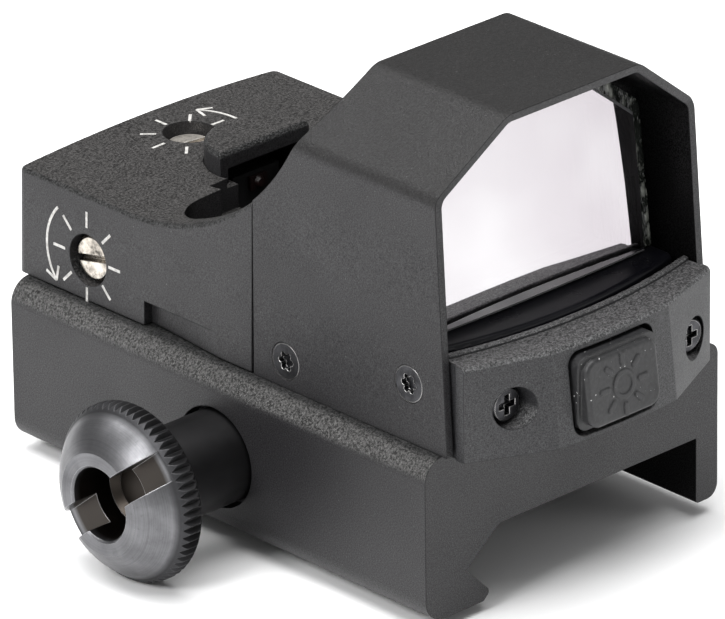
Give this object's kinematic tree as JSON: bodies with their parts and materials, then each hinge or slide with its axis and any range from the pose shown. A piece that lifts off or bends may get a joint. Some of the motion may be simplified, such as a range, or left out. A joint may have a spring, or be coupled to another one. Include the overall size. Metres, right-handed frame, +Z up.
{
  "type": "red dot finder",
  "caption": "Mini reflex red dot finder: hooded coated lens, rear emitter deck with two slotted adjusters, push button, and a dovetail rail clamp with a knurled thumb nut.",
  "frame": {"origin": "centre of the rail channel, in the plane of the face that rests on the rail", "axes": "+Z up, -Y looks at the target, +Y faces the eye, -X is the thumb nut's side"},
  "size_m": [0.0404, 0.0484, 0.0361],
  "materials": {
    "black_anodised": "fine blasted and black anodised",
    "bar_plastic": "fine moulded grain",
    "button_rubber": "matt moulded",
    "coated_glass": "partly reflecting lilac coating",
    "clear_bead": "clear glossy adhesive",
    "black_rubber": "smooth",
    "gunmetal_steel": "turned, worn edges",
    "black_screw_steel": "black oxide",
    "nickel_brass": "nickel plated, worn",
    "spring_steel": "bright",
    "cell_steel": "satin nickel",
    "contact_brass": "plated",
    "board_green": "solder resist",
    "chip_black": "moulded",
    "inner_plastic": "moulded",
    "red_led": "clear red"
  },
  "bodies": {
    "sight": {"rail_base": "black_anodised", "sight_body": "black_anodised", "hood": "black_anodised", "led_shroud": "black_anodised", "front_bar": "bar_plastic", "lens": "coated_glass", "lens_adhesive": "clear_bead", "lens_gasket": "black_rubber", "base_gasket": "black_rubber", "hood_screws": "black_screw_steel", "bar_screws": "black_screw_steel", "body_screws": "black_screw_steel", "locating_pins": "spring_steel", "coin_cell": "cell_steel", "battery_contact_plus": "contact_brass", "battery_contact_minus": "contact_brass", "control_board": "board_green", "driver_chip": "chip_black", "tact_switch": "chip_black"},
    "thumb_nut": {"thumb_nut": "gunmetal_steel"},
    "clamp_slide": {"clamp_jaw": "black_anodised", "cross_bolt": "gunmetal_steel"},
    "button": {"rubber_button": "button_rubber", "switch_plunger": "chip_black"},
    "windage_screw": {"windage_screw": "nickel_brass", "windage_clip": "spring_steel"},
    "elevation_screw": {"elevation_screw": "nickel_brass", "elevation_clip": "spring_steel"},
    "windage_yoke": {"windage_yoke": "inner_plastic", "guide_pins": "spring_steel", "elevation_spring": "spring_steel"},
    "emitter_carrier": {"emitter_carrier": "inner_plastic", "emitter_board": "chip_black", "led_emitter": "red_led"},
    "elevation_nut": {"elevation_nut": "nickel_brass"}
  },
  "joints": [
    {"name": "nut_turn", "type": "hinge", "parent": "sight", "child": "thumb_nut", "pos_m": [-0.02, 0, 0.00025], "axis": [1, 0, 0], "range_deg": [0, 1442]},
    {"name": "jaw_slide", "type": "slide", "parent": "sight", "child": "clamp_slide", "axis": [-1, 0, 0], "range_m": [0, 0.0028]},
    {"name": "button_press", "type": "slide", "parent": "sight", "child": "button", "axis": [0, 1, 0], "range_m": [0, 0.0004], "stiffness_N_per_m": 1500, "springref_m": -0.0004},
    {"name": "windage_turn", "type": "hinge", "parent": "sight", "child": "windage_screw", "pos_m": [-0.011, 0.0145, 0.00995], "axis": [-1, 0, 0], "range_deg": [-362, 362]},
    {"name": "windage_slide", "type": "slide", "parent": "sight", "child": "windage_yoke", "axis": [1, 0, 0], "range_m": [-0.0005, 0.0005]},
    {"name": "elevation_turn", "type": "hinge", "parent": "sight", "child": "elevation_screw", "pos_m": [-0.0005, 0.01685, 0.014], "axis": [0, 0, 1], "range_deg": [-362, 362]},
    {"name": "emitter_lift", "type": "slide", "parent": "windage_yoke", "child": "emitter_carrier", "axis": [0, 0, -1], "range_m": [-0.0005, 0.0005], "deforming": ["elevation_spring"]},
    {"name": "elevation_nut_slide", "type": "slide", "parent": "sight", "child": "elevation_nut", "axis": [0, 0, -1], "range_m": [-0.00051, 0.00051]}
  ],
  "couplings": [
    {"joint": "nut_turn", "follows": "jaw_slide", "rad_per_m": 8976},
    {"joint": "windage_turn", "follows": "windage_slide", "rad_per_m": 12566},
    {"joint": "elevation_turn", "follows": "emitter_lift", "rad_per_m": 12566},
    {"joint": "elevation_nut_slide", "follows": "emitter_lift", "ratio": 1}
  ]
}
